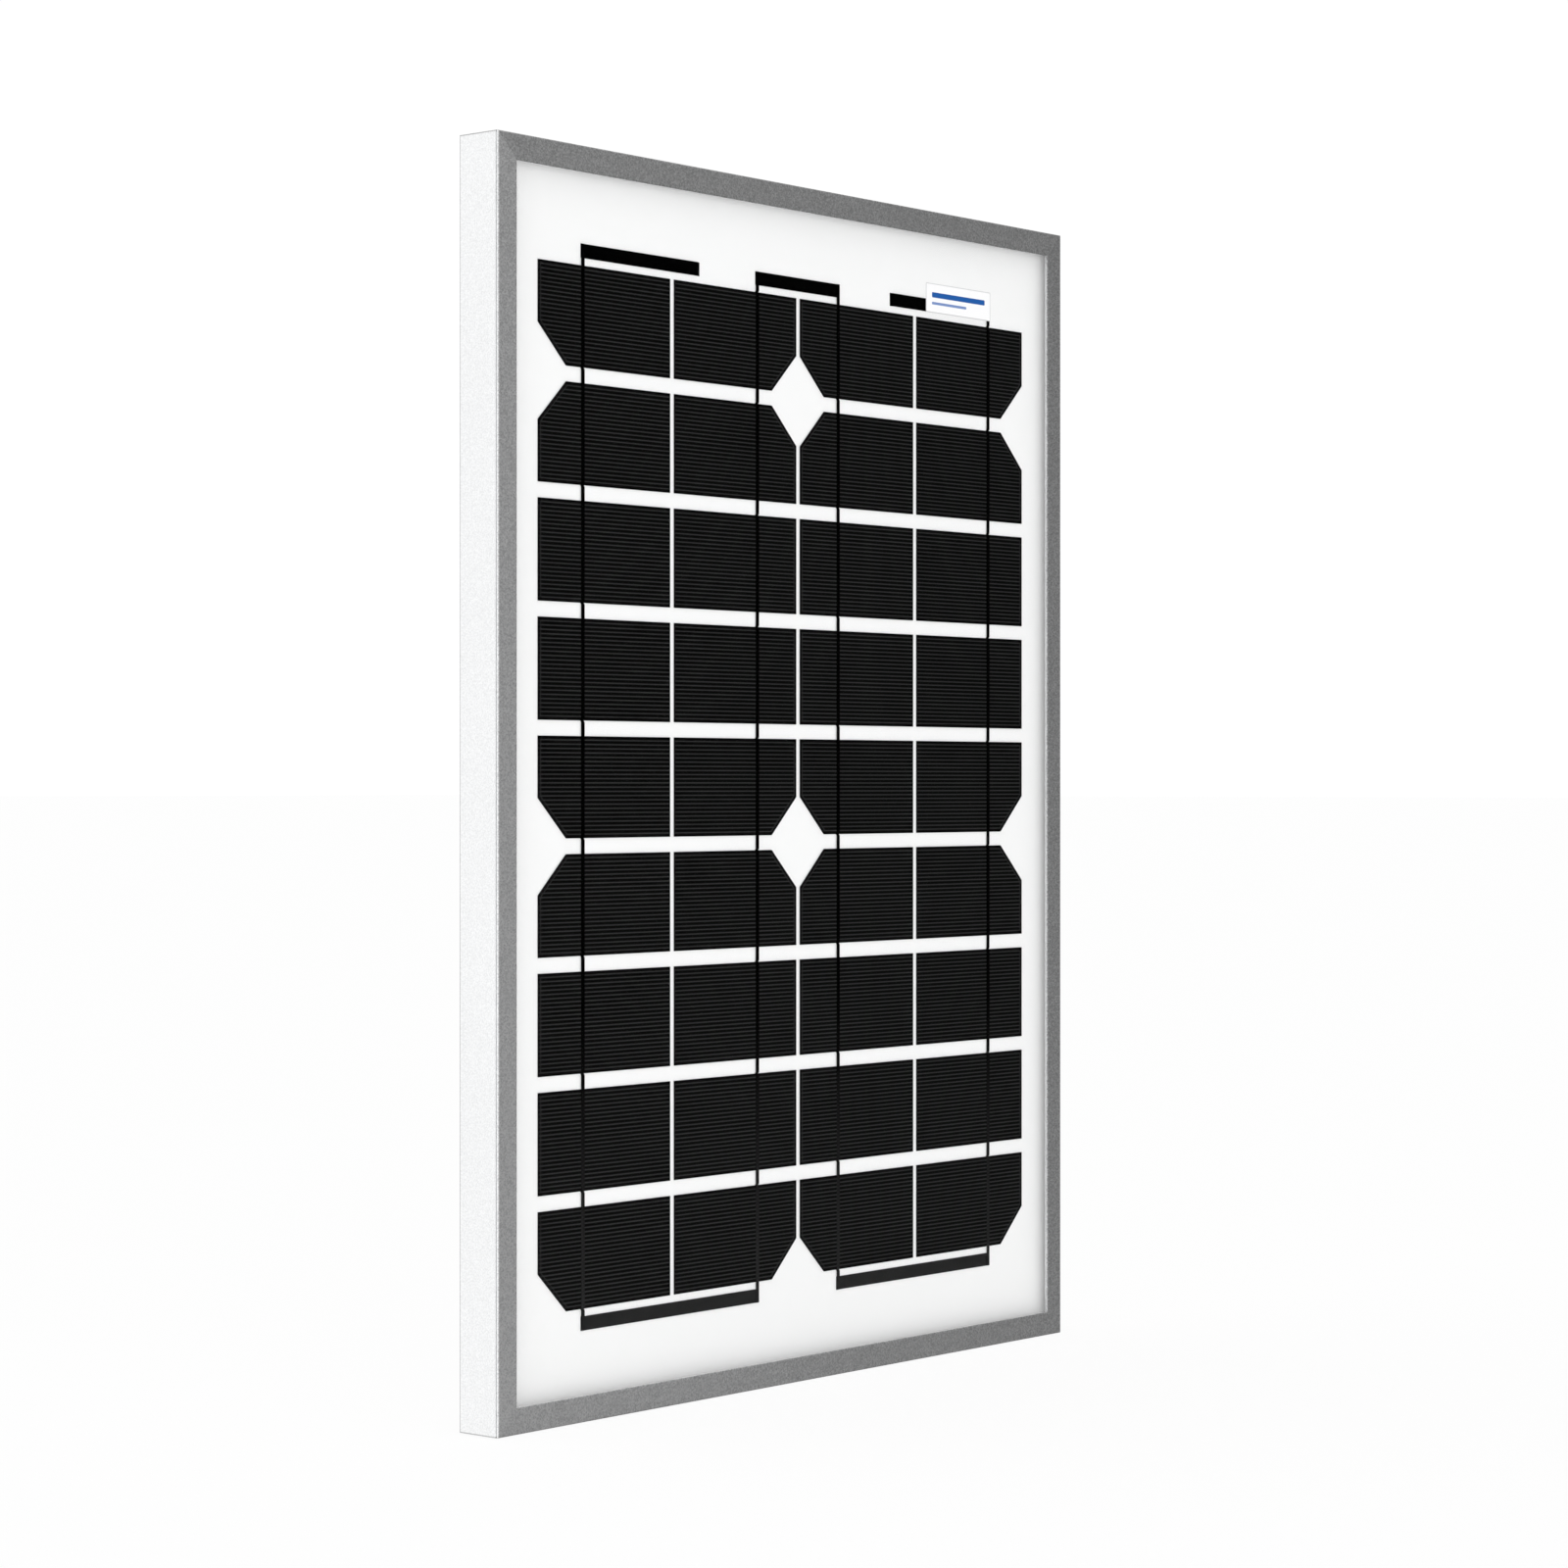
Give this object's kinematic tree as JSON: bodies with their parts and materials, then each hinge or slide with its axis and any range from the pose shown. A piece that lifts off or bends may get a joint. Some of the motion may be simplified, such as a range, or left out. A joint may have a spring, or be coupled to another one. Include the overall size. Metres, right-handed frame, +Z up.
{
  "type": "solar panel",
  "caption": "Small upright framed photovoltaic panel with rows of black cells behind glass, a rear junction box with a hinged lid, and coiled leads with connectors.",
  "frame": {"origin": "centre of the panel's foot on the ground: the middle of the bottom rail's outer face", "axes": "+Z up the long side, -Y out of the glass (the front), +X to the right seen from the front"},
  "size_m": [0.35, 0.0238, 0.48],
  "materials": {
    "frame": "silver anodised, satin",
    "corner_key": "as cast",
    "edge_seal": "matt silicone",
    "glass": "tempered, smooth",
    "encapsulant": "clear",
    "backsheet": "white film",
    "cell": "black silicon with fine fingers",
    "ribbon": "black coated",
    "label": "white film",
    "box_plastic": "moulded, fine texture",
    "rubber": "matt",
    "steel": "zinc plated",
    "tinned_copper": "tinned",
    "cable_jacket": "satin",
    "clip": "natural nylon"
  },
  "bodies": {
    "panel": {"frame_rail_left": "frame", "frame_rail_right": "frame", "frame_rail_top": "frame", "frame_rail_bottom": "frame", "corner_key_top_left": "corner_key", "corner_key_top_right": "corner_key", "corner_key_bottom_left": "corner_key", "corner_key_bottom_right": "corner_key", "edge_seal": "edge_seal", "front_glass": "glass", "front_encapsulant": "encapsulant", "rear_encapsulant": "encapsulant", "backsheet": "backsheet", "cell_string_1": "cell", "cell_string_2": "cell", "cell_string_3": "cell", "cell_string_4": "cell", "bus_ribbon_top_left": "ribbon", "bus_ribbon_top_centre": "ribbon", "bus_ribbon_top_right": "ribbon", "bus_ribbon_bottom_left": "ribbon", "bus_ribbon_bottom_right": "ribbon", "lead_insulation_strip": "backsheet", "front_label": "label", "rating_label": "label", "junction_box_adhesive": "edge_seal", "junction_box_base": "box_plastic", "lid_hinge_pin": "steel", "terminal_negative": "tinned_copper", "terminal_screw_negative": "steel", "cable_negative": "cable_jacket", "cable_clip_bottom_negative": "clip", "cable_clip_side_negative": "clip", "terminal_positive": "tinned_copper", "terminal_screw_positive": "steel", "cable_positive": "cable_jacket", "cable_clip_bottom_positive": "clip", "cable_clip_side_positive": "clip", "bypass_diode": "box_plastic", "connector_plug": "box_plastic", "connector_socket": "box_plastic", "contact_pin": "tinned_copper", "contact_socket": "tinned_copper"},
    "lid": {"junction_box_lid": "box_plastic", "junction_box_gasket": "rubber"},
    "gland_negative_seal": {"gland_seal_negative": "rubber"},
    "gland_negative_nut": {"gland_nut_negative": "box_plastic"},
    "gland_positive_seal": {"gland_seal_positive": "rubber"},
    "gland_positive_nut": {"gland_nut_positive": "box_plastic"},
    "connector_negative_seal": {"connector_seal_negative": "rubber"},
    "connector_negative_nut": {"connector_nut_negative": "box_plastic"},
    "connector_positive_seal": {"connector_seal_positive": "rubber"},
    "connector_positive_nut": {"connector_nut_positive": "box_plastic"}
  },
  "joints": [
    {"name": "lid_hinge", "type": "hinge", "parent": "panel", "child": "lid", "pos_m": [0, 0.005, 0.4505], "axis": [1, 0, 0], "range_deg": [0, 110]},
    {"name": "gland_negative_travel", "type": "slide", "parent": "panel", "child": "gland_negative_seal", "axis": [0, 0, -1], "range_m": [0, 0.0075]},
    {"name": "gland_negative_thread", "type": "hinge", "parent": "gland_negative_seal", "child": "gland_negative_nut", "pos_m": [-0.018, 0.0026, 0.377], "axis": [0, 0, -1], "range_deg": [0, 1800]},
    {"name": "gland_positive_travel", "type": "slide", "parent": "panel", "child": "gland_positive_seal", "axis": [0, 0, -1], "range_m": [0, 0.0075]},
    {"name": "gland_positive_thread", "type": "hinge", "parent": "gland_positive_seal", "child": "gland_positive_nut", "pos_m": [0.018, 0.0026, 0.377], "axis": [0, 0, -1], "range_deg": [0, 1800]},
    {"name": "connector_negative_travel", "type": "slide", "parent": "panel", "child": "connector_negative_seal", "axis": [0, 0, 1], "range_m": [0, 0.0045]},
    {"name": "connector_negative_thread", "type": "hinge", "parent": "connector_negative_seal", "child": "connector_negative_nut", "pos_m": [-0.057, 0.0056, 0.2325], "axis": [0, 0, 1], "range_deg": [0, 1080]},
    {"name": "connector_positive_travel", "type": "slide", "parent": "panel", "child": "connector_positive_seal", "axis": [0, 0, 1], "range_m": [0, 0.0045]},
    {"name": "connector_positive_thread", "type": "hinge", "parent": "connector_positive_seal", "child": "connector_positive_nut", "pos_m": [0.057, 0.0056, 0.2325], "axis": [0, 0, 1], "range_deg": [0, 1080]}
  ],
  "couplings": [
    {"joint": "gland_negative_thread", "follows": "gland_negative_travel", "rad_per_m": 4188.8},
    {"joint": "gland_positive_thread", "follows": "gland_positive_travel", "rad_per_m": 4188.8},
    {"joint": "connector_negative_thread", "follows": "connector_negative_travel", "rad_per_m": 4188.8},
    {"joint": "connector_positive_thread", "follows": "connector_positive_travel", "rad_per_m": 4188.8}
  ]
}
